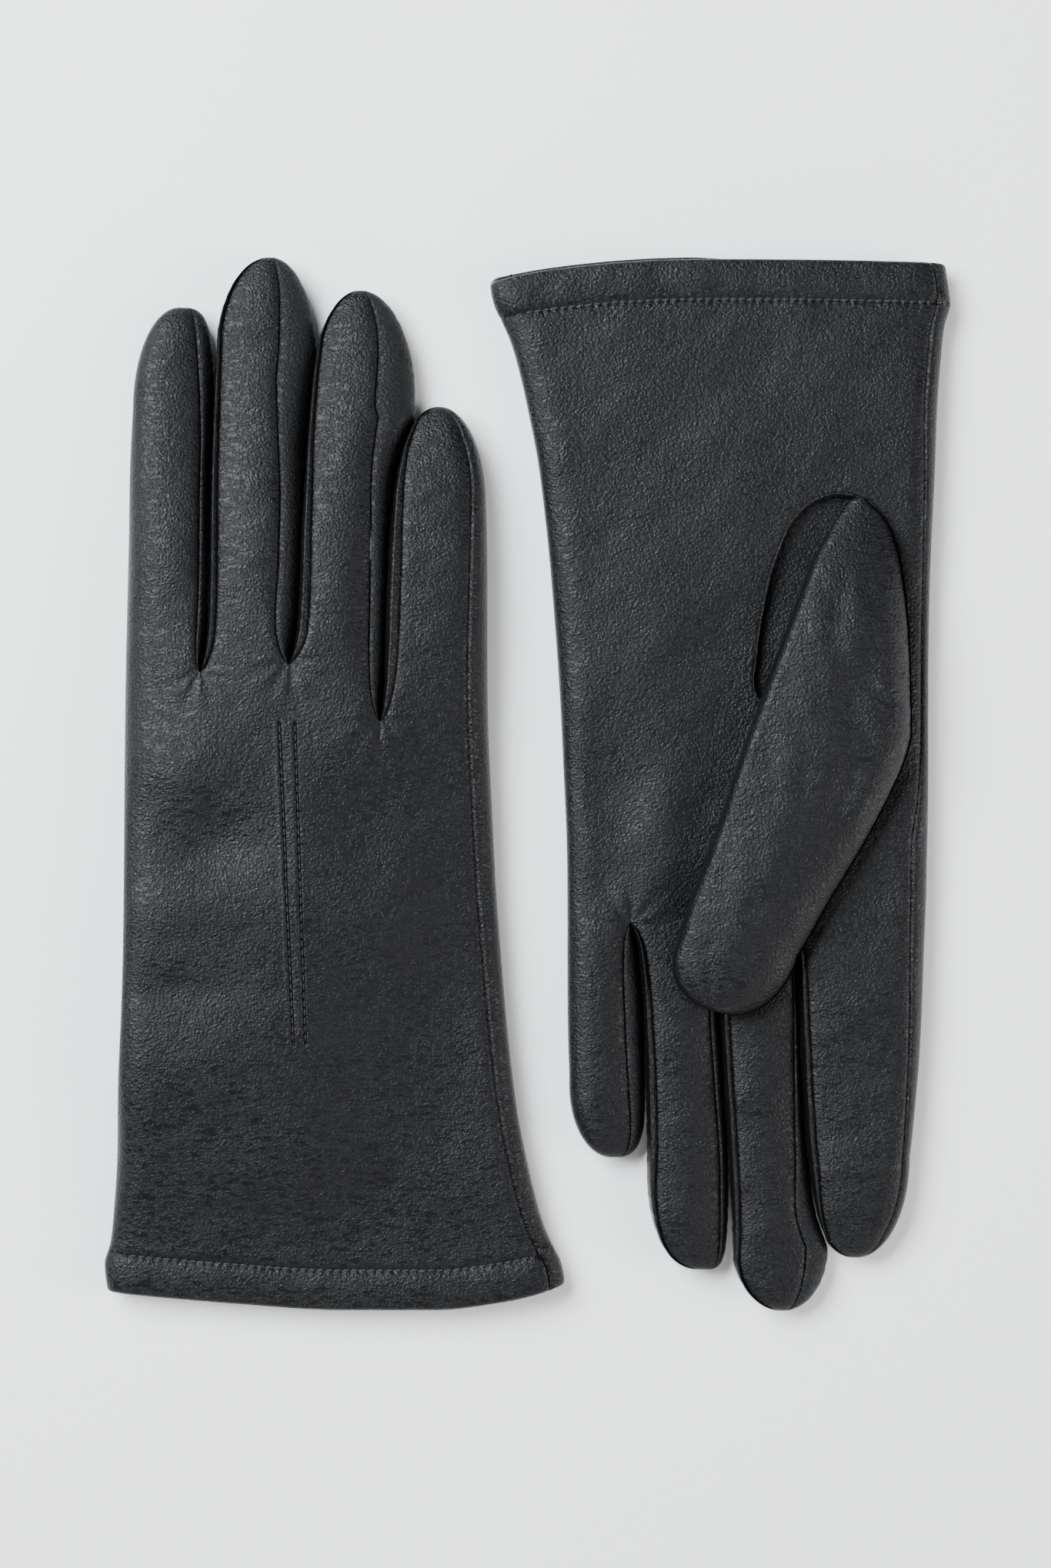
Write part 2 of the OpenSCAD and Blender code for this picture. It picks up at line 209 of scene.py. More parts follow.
def beside_thumb(u, v):
    """Distance from the thumb's middle line."""
    along = np.clip((u - THUMB_FOOT[0]) * THUMB_DIR[0] + (v - THUMB_FOOT[1]) * THUMB_DIR[1], 14, 108)
    line_u = THUMB_FOOT[0] + along * THUMB_DIR[0] - 4.5 * THUMB_SIDE[0]
    line_v = THUMB_FOOT[1] + along * THUMB_DIR[1] - 4.5 * THUMB_SIDE[1]
    return np.hypot(u - line_u, v - line_v)


def puckers(g, u, v):
    """Small pleats that fan out below each crotch."""
    total = np.zeros(np.broadcast(u, v).shape)
    for k, (between, crotch) in enumerate(zip(GLOVES[g]["between"], GLOVES[g]["crotch"])):
        du, dv = u - between(np.array(crotch)), crotch - v
        away = np.hypot(du, dv) + 0.01
        angle = np.arctan2(du, dv + 1.0)
        fan = np.cos(angle * 9 + k * 1.7) * np.exp(-((away - 4) / 5) ** 2) * (dv > -2)
        total = total + 0.16 * fan - 0.75 * np.exp(-(away / 3.2) ** 2)
    return total


def polar_edge(points, middle):
    """Radius of a closed outline about a middle point, as a function of the angle."""
    d = np.array(points, float) - middle
    angle, radius = np.arctan2(d[:, 1], d[:, 0]), np.hypot(d[:, 0], d[:, 1])
    order = np.argsort(angle)
    angle, radius = angle[order], radius[order]
    turn = 2 * math.pi
    angles = [*(angle[-3:] - turn), *angle, *(angle[:3] + turn)]
    return curve(*zip(angles, [*radius[-3:], *radius, *radius[:3]]))


# The seam in the palm that the thumb's gusset is set into.
GUSSET_MIDDLE = np.array([-19.0, 80.0])
gusset_edge = polar_edge([(-23, 56), (-16, 57.4), (-10.9, 62), (-7.5, 69), (-4.9, 77), (-3.3, 85.5),
                          (-2.2, 94), (-2, 103), (-8, 108), (-19, 105), (-29, 97), (-35, 84), (-35, 70),
                          (-30, 59)], GUSSET_MIDDLE)


def gusset_depth(u, v):
    """Distance inside the gusset's seam, negative outside."""
    du, dv = u - GUSSET_MIDDLE[0], v - GUSSET_MIDDLE[1]
    return gusset_edge(np.arctan2(dv, du)) - np.hypot(du, dv)


def palm_pocket(u, v):
    """How far the palm dips inside the gusset's seam."""
    return 2.0 * smooth(0.2, 2.2, gusset_depth(u, v))


# The two rows of stitching on the back, each from its upper to its lower end as (u, v).
TUCKS = (((-6.2, 138), (-3.0, 62.8)), ((-2.6, 138.6), (-0.2, 62.8)))
TUCK_LOW, TUCK_HIGH = 62.8, 138.3      # v of the rows' ends
TUCK_BED = 0.7          # how far the back is lowered under the strip of leather that holds the stitching


def tuck_middle(v):
    """u of the line midway between the two rows."""
    (high_a, low_a), (high_b, low_b) = TUCKS
    share = (v - TUCK_LOW) / (TUCK_HIGH - TUCK_LOW)
    return (low_a[0] + low_b[0]) / 2 * (1 - share) + (high_a[0] + high_b[0]) / 2 * share


def tuck_bed(u, v):
    """How far the back is lowered under that strip, 0 away from it."""
    beside = np.abs(u - tuck_middle(v))
    return (TUCK_BED * (1 - smooth(2.2, 3.0, beside)) * smooth(TUCK_LOW - 2.3, TUCK_LOW - 1, v)
            * (1 - smooth(TUCK_HIGH + 1, TUCK_HIGH + 2.3, v)))


def top_height(g, u, v):
    """Height of the hand's upper leather."""
    if g == "right":
        lift = 6.6 * (1 - smooth(2, 62, beside_thumb(u, v) - 8))
        base = 9.6 + lift + 0.6 * smooth(120, 180, v) - 1.3 * (1 - smooth(0, 40, v))
        folds = (1.5 * bump(u, v, -29, 128, 13, 9) - 1.5 * bump(u, v, -22, 110, 11, 8)
                 - 0.9 * bump(u, v, 14, 114, 9, 12) + 0.8 * bump(u, v, -33, 95, 14, 6)
                 - 0.7 * bump(u, v, -30, 76, 16, 5) + 0.6 * bump(u, v, 20, 92, 16, 9)
                 + 0.8 * bump(u, v, 6, 36, 20, 11) - 0.6 * bump(u, v, -24, 40, 12, 10)
                 + 0.5 * bump(u, v, 12, 140, 8, 9) + 0.3 * bump(u, v, -14, 140, 6, 7))
    else:
        base = 9.4 + 0.4 * smooth(120, 180, v) - 0.9 * (1 - smooth(0, 40, v))
        folds = (0.8 * bump(u, v, 22, 88, 16, 22) - 1.0 * bump(u, v, 33, 128, 9, 14)
                 + 0.9 * bump(u, v, 20, 134, 7, 16) - 0.9 * bump(u, v, 12, 152, 7, 10)
                 + 0.5 * bump(u, v, 2, 60, 20, 16) - 0.3 * bump(u, v, 0, 30, 26, 10)
                 - 0.6 * bump(u, v, -30, 152, 8, 9) + 0.5 * bump(u, v, -26, 172, 10, 10)
                 - 0.5 * bump(u, v, 36, 148, 6, 8))
    swell = 0.22 * ripples(u, v, 11 + len(g), 26) + 0.07 * ripples(u, v, 5 + len(g), 9)
    z = base + folds + swell + puckers(g, u, v)
    if g == "left":
        pressed = 1 - smooth(9, 17, beside_thumb(u, v))
        z = z + (np.minimum(z, 9.3) - z) * pressed - palm_pocket(u, v)
        return z
    return z - tuck_bed(u, v)


def bottom_height(g, u, v):
    """Height of the hand's lower leather. The right hand arches over its own thumb."""
    if g == "right":
        return 0.4 + 8.0 * (1 - smooth(5, 34, beside_thumb(u, v) - 11)) + palm_pocket(u, v)
    return 0.82 + 0.12 * ripples(u, v, 3, 30) + tuck_bed(u, v)


def is_outer(i, low):
    """Whether that side of finger i is a long edge of the hand."""
    return i == 0 if low else i == 3


def beyond(g, u, v, top, out):
    """Height of a point that far outside the hand's upper or lower leather."""
    return top_height(g, u, v) + out if top else bottom_height(g, u, v) - out


def hand_low(g, v):
    """u of the hand's edge on the index finger's side."""
    edge = index_edge(v + cuff_rise(g, np.array(-47.0), v))
    return edge if g == "right" else edge + (left_index_edge(v) - edge) * smooth(120, 165, v)


def finger_sides(g, i, v):
    """The low and high side of finger i, closing to its tip."""
    glove = GLOVES[g]
    start, tip_u, tip_v, square_low, square_high = glove["tips"][i]
    edges = []
    for low in (True, False):
        outer = is_outer(i, low)
        between = None if outer else glove["between"][i - 1 if low else i]
        crotch = None if outer else glove["crotch"][i - 1 if low else i]
        side = (lambda w, lo=low: hand_low(g, w) if lo else little_side(g, w)) if outer else between
        squareness = square_low if low else square_high
        t = np.clip((v - start) / (tip_v - start), 0, 1)
        at_start = side(np.array(float(start)))
        if outer:
            straight = side(np.minimum(v, start))
        else:
            below = np.clip((crotch - v) / crotch, 0, 1)      # below the crotch the line runs on to the cuff
            foot = side(np.array(crotch))
            foot = foot + below * foot * 0.15
            straight = np.where(v < crotch, foot, side(np.minimum(v, start)))
        closing = tip_u + (at_start - tip_u) * (1 - t ** squareness) ** (1 / squareness)
        edge = np.where(v > start, closing, straight)
        if not outer:
            gap = 0.12 * smooth(0, 3, v - crotch)
            limit = np.where(v < crotch, edge, between(v))
            edge = np.maximum(edge, limit + gap) if low else np.minimum(edge, limit - gap)
        edges.append(edge)
    return edges


def opening(g, k, v):
    """0 below crotch k, and quickly up to 1 above it, as the U of the slit opens."""
    t = np.clip((v - GLOVES[g]["crotch"][k]) / 5.0, 0, 1)
    return np.sqrt(1 - (1 - t) ** 2)


def tip_share(g, i, v):
    """1 along a finger, falling to 0 as its tip closes."""
    start, _, tip_v, _, _ = GLOVES[g]["tips"][i]
    t = np.clip((v - start) / (tip_v - start), 0, 1)
    return (1 - t ** 2.3) ** (1 / 2.3)


def seam_in(g, i, v, low, top):
    """Distance from finger i's side in to the seam, on its top or bottom, and 0 at the crotch."""
    glove = GLOVES[g]
    sides = finger_sides(g, i, v)
    wide = sides[1] - sides[0]
    start = glove["tips"][i][0]
    wide_at_start = np.array(finger_sides(g, i, np.array(float(start))))
    shrink = np.where(v > start, wide / (wide_at_start[1] - wide_at_start[0]), 1)
    distance = glove["low_seam" if low else "high_seam"][i](v) if top else 2.6
    return distance * shrink * opening(g, i - 1 if low else i, v)


def finger_folds(g, i, u, v):
    """Soft creases across a finger."""
    crotch = GLOVES[g]["crotch"][min(i, 2)]
    seed = 61 + i + 7 * len(g)
    swell = 0.20 * ripples(u * 0.25, v, seed, 15) + 0.09 * ripples(u * 0.5, v, seed + 20, 5)
    return swell * smooth(crotch, crotch + 20, v)


def sheet_z(g, i, u, v, top):
    """Height of finger i's top or bottom leather, running on into the hand below the crotches."""
    sides = finger_sides(g, i, v)
    share = tip_share(g, i, v)
    upper, lower = top_height(g, u, v) + finger_folds(g, i, u, v), bottom_height(g, u, v)
    middle_u = (sides[0] + sides[1]) / 2
    middle = (top_height(g, middle_u, v) + bottom_height(g, middle_u, v)) / 2
    s = np.clip((u - sides[0]) / np.maximum(sides[1] - sides[0], 0.01), 0, 1)
    ridge_low = GLOVES[g]["ridge"] < 0
    fall = 0
    for low in (True, False):
        if is_outer(i, low):
            continue
        k = i - 1 if low else i
        grown = smooth(-2, 26, v - GLOVES[g]["crotch"][k])
        depth = (1.7 if low == ridge_low else 3.6) if top else 2.2
        reach = (1 - s) if low else s
        fall = fall + depth * grown * reach ** 3.0
    z = upper - fall if top else lower + fall
    return middle + (z - middle) * share


def roll(distance):
    """How far leather dips where it turns into a seam."""
    return 0.42 * np.exp(-distance / 0.38)


def stitch_dip(distance, v):
    """The slight gathering between the stitches of a seam."""
    return 0.07 * (1 - np.cos(WAVE * v / STITCH)) * np.exp(-distance / 0.9)


EDGE = np.array([0, 0.14, 0.34, 0.7, 1.25])     # columns of mesh beside a seam, by their distance from it


def outer_columns(g, i, v, low, top):
    """The rolled long edge of a hand and its outer finger, from its seam to where the sheet lies flat."""
    sides = finger_sides(g, i, v)
    wide = sides[1] - sides[0]
    r = np.maximum(np.minimum(SIDE_R, 0.45 * wide), 0.01)
    wrap = GLOVES[g]["low_wrap" if low else "high_wrap"]
    owned = (wrap is None) == top          # this sheet is the one that wraps round the edge
    inward = wrap(v) * r / SIDE_R if wrap is not None else 4.2 * r / SIDE_R
    share = np.clip(1 - inward / r, 0, 1)
    q_seam = np.arccos(np.clip(share ** UNSHOULDER, 0, 1)) / (math.pi / 2)
    q = np.linspace(0, 1, 15)[None, :] * np.ones((len(v), 1))
    first = -q_seam[:, None] if owned else q_seam[:, None]
    q = first + (1 - first) * q
    if not top:
        q = -q
    away = np.abs(q) * math.pi / 2
    d = r[:, None] * (1 - np.cos(away) ** SHOULDER)
    u = sides[0][:, None] + d if low else sides[1][:, None] - d
    rows = v[:, None]
    z_top, z_low = sheet_z(g, i, u, rows, True), sheet_z(g, i, u, rows, False)
    middle = (z_top + z_low) / 2
    z = middle + np.sign(q) * (z_top - z_low) / 2 * np.sin(away) ** SHOULDER
    seam_distance = np.abs(d - d[:, :1]) + np.abs(z - z[:, :1])
    dip = (roll(seam_distance) + stitch_dip(seam_distance, rows)) * np.where(z > middle, 1, -1)
    z = z - dip * tip_share(g, i, rows)
    inside_z = z[:, :1] + np.where(z[:, :1] > middle[:, :1], -TURN_IN, TURN_IN)
    return np.hstack([u[:, :1], u]), np.hstack([inside_z, z])


def inner_columns(g, i, v, low, top):
    """The last millimetre or so of a finger's sheet beside an inner seam, with its turned-in edge."""
    sides = finger_sides(g, i, v)
    k = i - 1 if low else i
    inward = seam_in(g, i, v, low, top)
    sign = 1 if low else -1
    edge = (sides[0] + inward) if low else (sides[1] - inward)
    wide = sides[1] - sides[0]
    scale = np.minimum(1, wide / 8)
    u = edge[:, None] + sign * EDGE[None, :] * scale[:, None]
    rows = v[:, None]
    z = sheet_z(g, i, u, rows, top)
    opened = opening(g, k, rows)
    dip = (roll(EDGE)[None, :] + stitch_dip(EDGE[None, :], rows)) * opened * tip_share(g, i, rows)
    z = z - dip if top else z + dip
    inside_z = z[:, :1] + (-TURN_IN if top else TURN_IN) * opened * scale[:, None]
    return np.hstack([u[:, :1], u]), np.hstack([inside_z, z])


def finger_sheet(g, i, v, top, count=18):
    """u and z of the whole top or bottom sheet of finger column i, low side first."""
    parts = [(outer_columns if is_outer(i, low) else inner_columns)(g, i, v, low, top)
             for low in (True, False)]
    low_u, low_z = parts[0]
    high_u, high_z = parts[1][0][:, ::-1], parts[1][1][:, ::-1]
    share = np.linspace(0, 1, count + 2)[None, 1:-1]
    u = low_u[:, -1:] + (high_u[:, :1] - low_u[:, -1:]) * share
    z = sheet_z(g, i, u, v[:, None], top)
    return np.hstack([low_u, u, high_u]), np.hstack([low_z, z, high_z])


def fourchette(g, i, v, low):
    """u and z of the narrow strip on one inner side of finger i, from its top seam to its bottom seam."""
    sides = finger_sides(g, i, v)
    side = sides[0] if low else sides[1]
    sign = 1 if low else -1
    k = i - 1 if low else i
    rows = v[:, None]
    seams = []
    for top in (True, False):
        edge = side + sign * seam_in(g, i, v, low, top)
        seams.append((edge, sheet_z(g, i, edge[:, None], rows, top)[:, 0]))
    (top_u, top_z), (low_u, low_z) = seams
    share = tip_share(g, i, v)
    middle = (top_z + low_z) / 2 - 0.6 * share
    ridge = low == (GLOVES[g]["ridge"] < 0)
    step = 0.0 if ridge else 0.45
    opened = opening(g, k, v)
    columns_u, columns_z = [], []
    for p in np.linspace(0, 1, 25):
        angle = p * math.pi
        upper = p <= 0.5
        seam_u, seam_z = (top_u, top_z) if upper else (low_u, low_z)
        power = (0.6 if ridge else 1.15) if upper else 0.9
        swell = opened * share * (0.95 * math.exp(-((p - 0.13) / 0.11) ** 2) if ridge
                                  else -step * math.exp(-p / 0.12))
        out = abs(math.sin(angle)) ** power
        up = abs(math.cos(angle)) ** power
        u = seam_u + (side - seam_u) * out
        z = middle + (seam_z - middle) * up + swell
        near = min(p, 1 - p) * 12
        z = z + (-1 if upper else 1) * (roll(near) + stitch_dip(near, v)) * opened * share
        columns_u.append(u)
        columns_z.append(z)
    scale = np.minimum(1, (sides[1] - sides[0]) / 8)
    turned = TURN_IN * opened * scale
    dip_top = (roll(0) + stitch_dip(0, v) + step) * opened * share
    u = np.stack([top_u, *columns_u, low_u], 1)
    z = np.stack([top_z - dip_top - turned, *columns_z, low_z + dip_top + turned], 1)
    across = np.sin(np.linspace(0, math.pi, u.shape[1]))[None, :]
    creases = 0.10 * ripples(u * 0.3, rows, 31 + i, 3.2) * across
    u = u - sign * creases * opened[:, None] * share[:, None]
    return u, z


# -------------------- materials
def map_range(nodes, links, factor, a, b):
    """A socket that runs from a to b as factor runs from 0 to 1."""
    node = nodes.new("ShaderNodeMapRange")
    node.inputs["To Min"].default_value = a
    node.inputs["To Max"].default_value = b
    links.new(factor, node.inputs["Value"])
    return node.outputs["Result"]


def math_node(nodes, links, operation, a, b):
    node = nodes.new("ShaderNodeMath")
    node.operation = operation
    for socket, value in zip(node.inputs, (a, b)):
        if isinstance(value, (int, float)):
            socket.default_value = value
        else:
            links.new(value, socket)
    return node.outputs[0]


def new_material(name, rough):
    """A material with its nodes, links, surface shader and place on the object."""
    material = bpy.data.materials.new(name)
    material.use_nodes = True
    nodes, links = material.node_tree.nodes, material.node_tree.links
    shader = nodes["Principled BSDF"]
    shader.inputs["Roughness"].default_value = rough
    return material, nodes, links, shader, nodes.new("ShaderNodeTexCoord").outputs["Object"]


def texture(nodes, links, kind, place, **settings):
    """A texture node of that kind, read at place."""
    node = nodes.new(kind)
    for setting, value in settings.items():
        node.inputs[setting].default_value = value
    links.new(place, node.inputs["Vector"])
    return node


def add_relief(nodes, links, shader, height, strength, distance):
    """Bumps on the surface, from a height."""
    relief = nodes.new("ShaderNodeBump")
    relief.inputs["Strength"].default_value = strength
    relief.inputs["Distance"].default_value = distance
    links.new(height, relief.inputs["Height"])
    links.new(relief.outputs["Normal"], shader.inputs["Normal"])


def add_tone(nodes, links, shader, factor, dark, light):
    """The surface's colour, from dark to light with factor."""
    tone = nodes.new("ShaderNodeMix")
    tone.data_type = "RGBA"
    tone.inputs["A"].default_value = (*dark, 1)
    tone.inputs["B"].default_value = (*light, 1)
    links.new(factor, tone.inputs["Factor"])
    links.new(tone.outputs["Result"], shader.inputs["Base Color"])


def leather(name, dark, light, rough, grain=1.0):
    """Fine-grained nappa: pebbled cells, hair-fine creases and a slow change of tone and gloss."""
    material, nodes, links, shader, place = new_material(name, rough)

    def noise(scale, detail, roughness=0.55, stretch=(1, 1, 1)):
        mapping = texture(nodes, links, "ShaderNodeMapping", place, Scale=stretch)
        return texture(nodes, links, "ShaderNodeTexNoise", mapping.outputs["Vector"], Scale=scale,
                       Detail=detail, Roughness=roughness).outputs["Fac"]

    def mixed(a, weight_a, b, weight_b):
        return math_node(nodes, links, "ADD", math_node(nodes, links, "MULTIPLY", a, weight_a),
                         math_node(nodes, links, "MULTIPLY", b, weight_b))

    warp = texture(nodes, links, "ShaderNodeTexNoise", place, Scale=500, Detail=2)
    shift = nodes.new("ShaderNodeVectorMath")
    shift.operation = "MULTIPLY_ADD"
    shift.inputs[1].default_value = (0.0009, 0.0009, 0.0009)
    links.new(warp.outputs["Color"], shift.inputs[0])
    links.new(place, shift.inputs[2])
    cells = nodes.new("ShaderNodeTexVoronoi")
    cells.feature = "SMOOTH_F1"
    cells.inputs["Scale"].default_value = 1600
    cells.inputs["Smoothness"].default_value = 0.6
    links.new(shift.outputs[0], cells.inputs["Vector"])

    fine = noise(3200, 3, 0.6)
    creases = noise(480, 5, 0.64, (0.55, 1.5, 1))
    slow = noise(26, 2)
    ridged = math_node(nodes, links, "ABSOLUTE", math_node(nodes, links, "SUBTRACT", creases, 0.5), 0)
    lines = map_range(nodes, links, ridged, 0.0, 1.0)
    lines.node.inputs["From Max"].default_value = 0.07
    pebbled = mixed(cells.outputs["Distance"], -0.55, fine, 0.30)
    height = math_node(nodes, links, "ADD", pebbled, mixed(lines, 0.16, creases, 0.32))
    add_relief(nodes, links, shader, height, 0.72 * grain, 0.0004)
    add_tone(nodes, links, shader, mixed(slow, 0.6, lines, 0.3), dark, light)
    gloss = map_range(nodes, links, mixed(slow, 0.5, fine, 0.5), rough - 0.08, rough + 0.08)
    links.new(gloss, shader.inputs["Roughness"])
    shader.inputs["Specular IOR Level"].default_value = 0.19
    return material


def knit(name, colour):
    """Brushed knitted lining: fine wales across a soft nap."""
    material, nodes, links, shader, place = new_material(name, 0.95)
    wales = texture(nodes, links, "ShaderNodeTexWave", place, Scale=260, Distortion=1.5, Detail=2)
    nap = texture(nodes, links, "ShaderNodeTexNoise", place, Scale=1800, Detail=4).outputs["Fac"]
    ribs = math_node(nodes, links, "MULTIPLY", wales.outputs["Fac"], 0.5)
    add_relief(nodes, links, shader, math_node(nodes, links, "ADD", ribs, nap), 0.8, 0.0004)
    add_tone(nodes, links, shader, nap, [c * 0.6 for c in colour], [c * 1.5 for c in colour])
    shader.inputs["Sheen Weight"].default_value = 0.35
    return material


def thread_material():
    """Twisted sewing thread."""
    material, nodes, links, shader, place = new_material("thread", 0.6)
    twist = texture(nodes, links, "ShaderNodeTexWave", place, Scale=900)
    twist.bands_direction = "DIAGONAL"
    add_tone(nodes, links, shader, twist.outputs["Fac"], (0.006, 0.006, 0.007), (0.022, 0.022, 0.024))
    add_relief(nodes, links, shader, twist.outputs["Fac"], 0.6, 0.0001)
    return material


SKIN = leather("nappa", (0.0018, 0.0018, 0.0022), (0.0046, 0.0047, 0.0054), 0.30)
GUSSET = leather("nappa_gusset", (0.002, 0.0021, 0.0025), (0.005, 0.0052, 0.006), 0.38, 1.3)
LINING = knit("lining_knit", (0.035, 0.035, 0.038))
THREAD = thread_material()


# -------------------- mesh building
def build(name, grids, materials):
    """One mesh of several grids of frame points. Each grid is (points, flipped, material number)."""
    verts, faces, skins, base = [], [], [], 0
    for points, flipped, skin in grids:
        rows, cols = points.shape[:2]
        index = base + np.arange(rows * cols).reshape(rows, cols)
        a, b, c, d = index[:-1, :-1], index[:-1, 1:], index[1:, 1:], index[1:, :-1]
        quads = np.stack([a, d, c, b] if flipped else [a, b, c, d], -1).reshape(-1, 4)
        verts.append(points.reshape(-1, 3))
        faces.append(quads)
        skins.append(np.full(len(quads), skin))
        base += rows * cols
    verts, faces, skins = np.vstack(verts), np.vstack(faces), np.concatenate(skins)
    keys = np.round(verts * 2e6).astype(np.int64)
    _, first, inverse = np.unique(keys, axis=0, return_index=True, return_inverse=True)
    verts, faces = verts[first], inverse.reshape(-1)[faces]
    mesh = bpy.data.meshes.new(name)
    cleaned, cleaned_skins = [], []
    for quad, skin in zip(faces.tolist(), skins.tolist()):
        kept = [q for n, q in enumerate(quad) if q != quad[n - 1]]
        if len(kept) >= 3 and len(set(kept)) == len(kept):
            cleaned.append(kept)
            cleaned_skins.append(skin)
    mesh.from_pydata(verts.tolist(), [], cleaned)
    for material in materials:
        mesh.materials.append(material)
    mesh.polygons.foreach_set("material_index", cleaned_skins)
    mesh.polygons.foreach_set("use_smooth", np.ones(len(mesh.polygons), bool))
    mesh.validate()
    mesh.update()
    piece = bpy.data.objects.new(name, mesh)
    bpy.context.scene.collection.objects.link(piece)
    return piece


def grid(g, u, v, z, flipped=False, skin=0):
    """A grid for build(), from a glove's own u, v and z. v may be one value for each row."""
    return to_frame(g, u, v if v.ndim > 1 else v[:, None], z), flipped, skin


def stitches(name, pairs, radius):
    """Short round stitches, each between two frame points."""
    pairs = np.array(pairs)
    first, last = pairs[:, 0], pairs[:, 1]
    along = last - first
    length = np.linalg.norm(along, axis=1, keepdims=True)
    along = along / length
    side = np.cross(along, (0, 0, 1.0))
    side = side / np.linalg.norm(side, axis=1, keepdims=True)
    up = np.cross(side, along)
    angle = np.linspace(0, 2 * math.pi, 7)
    rings = []
    for at, scale in ((0, 0.05), (0.06, 0.7), (0.25, 1), (0.75, 1), (0.94, 0.7), (1, 0.05)):
        centre = first + (last - first) * at
        ring = [centre + radius * scale * (math.cos(a) * side + math.sin(a) * up) for a in angle]
        rings.append(np.stack(ring, 1))
    return build(name, [(one, False, 0) for one in np.stack(rings, 1)], [THREAD])


def rows_of(g, i):
    """Row places along finger column i: even up to the rounding of its tip, then closer and closer."""
    start, _, tip_v, _, _ = GLOVES[g]["tips"][i]
    straight = np.arange(HEM_END, start, ROW)
    count = int((tip_v - straight[-1]) / ROW * 1.5)
    t = np.sin(np.linspace(0, math.pi / 2, count + 1))[1:]
    return np.concatenate([straight, straight[-1] + (tip_v - straight[-1]) * t])


def full_sheet(g, v, top, fine=1):
    """u and z of the hand's whole top or bottom sheet below the crotches, with fine times the columns."""
    parts = [finger_sheet(g, i, v, top) for i in range(4)]
    u, z = np.hstack([p[0] for p in parts]), np.hstack([p[1] for p in parts])
    if fine == 1:
        return u, z
    count = u.shape[1]
    at = np.linspace(0, count - 1, (count - 1) * fine + 1)
    i = np.minimum(at.astype(int), count - 2)
    f = (at - i)[None, :]
    return u[:, i] * (1 - f) + u[:, i + 1] * f, z[:, i] * (1 - f) + z[:, i + 1] * f


def inner(g, u, z, v, depth):
    """Moves points of the skin inwards by depth."""
    upper, lower = top_height(g, u, v), bottom_height(g, u, v)
    mid_z, half_z = (upper + lower) / 2, np.maximum((upper - lower) / 2, 2.5)
    low, high = hand_low(g, v), little_side(g, v)
    mid_u, half_u = (low + high) / 2, (high - low) / 2
    return mid_u + (u - mid_u) * (1 - depth / half_u), mid_z + (z - mid_z) * (1 - depth / half_z)


def hem(g):
    """The folded hem: from just above its stitching over the rolled cuff edge and back up inside."""
    lip = PLY / 2
    over = [(v, 0.0) for v in np.linspace(HEM_END + 0.3, lip, 44)]
    over += [(lip - lip * math.sin(a), lip * (1 - math.cos(a))) for a in np.linspace(0.3, math.pi, 9)]
    over += [(v, PLY) for v in np.linspace(lip + 1, HEM + 0.6, 8)]
    v, depth = np.array(over).T
    grids = []
    for top in (True, False):
        u, z = full_sheet(g, v, top, 3)
        sign = 1 if top else -1
        rows, deep = v[:, None], depth[:, None]
        crease = (0.45 + 0.22 * np.cos(WAVE * u / STITCH)) * np.exp(-(np.abs(rows - HEM) / 0.75) ** 1.3)
        puff = (0.55 if top else 0.3) * np.sin(math.pi * np.clip(rows / HEM, 0, 1)) ** 1.05
        ripple = 0.10 * ripples(u, rows * 0.4, 77, 7) * np.clip(rows / 2, 0, 1)
        z = z + sign * (puff - crease + ripple * (1 - smooth(HEM_END - 1.5, HEM_END, rows)))
        z = z - sign * 0.06 * smooth(HEM_END, HEM_END + 0.3, rows)
        u, z = inner(g, u, z, rows, deep)
        grids.append(grid(g, u, v, z, not top))
    piece = build(f"{g}_cuff_hem_leather", grids, [SKIN])
    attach(piece, f"{g}_hand")
    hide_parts(f"{g}_cuff_hem")
    pairs = []
    for top in (True, False):
        for at in np.arange(-42, 52, STITCH):
            ends_u = np.array([at + 0.3, at + 1.7])
            pairs.append(to_frame(g, ends_u, np.full(2, HEM), beyond(g, ends_u, HEM, top, -0.34)))
    piece = stitches(f"{g}_hem_stitches", pairs, 0.00022)
    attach(piece, f"{g}_hand")
    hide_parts(f"{g}_hem_stitching")


def hand_lining(g, top, side):
    """The knit inside the back or the palm."""
    v = np.linspace(HEM, 138, 50)
    u, z = full_sheet(g, v, top)
    u, z = inner(g, u, z, v[:, None], PLY + 0.25)
    piece = build(f"{g}_{side}_lining_knit", [grid(g, u, v, z, top)], [LINING])
    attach(piece, f"{g}_hand")
    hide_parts(f"{g}_{side}_lining")


def finger_lining(g, i, v):
    """A knitted tube inside a finger."""
    rows = np.concatenate([np.arange(v[0], v[-1] - 6, 3.0), np.linspace(v[-1] - 5.5, v[-1] - 1.6, 6)])
    sides = finger_sides(g, i, rows)
    mid_u = (sides[0] + sides[1])[:, None] / 2
    half_u = np.maximum((sides[1] - sides[0])[:, None] / 2 - 1.6, 0.2)
    upper, lower = (sheet_z(g, i, mid_u, rows[:, None], top) for top in (True, False))
    angle = np.linspace(0, 2 * math.pi, 25)[None, :]
    u = mid_u + half_u * np.cos(angle)
    z = (upper + lower) / 2 + np.maximum((upper - lower) / 2 - 1.4, 0.1) * np.sin(angle) * 0.9
    return [grid(g, u, rows, z)]


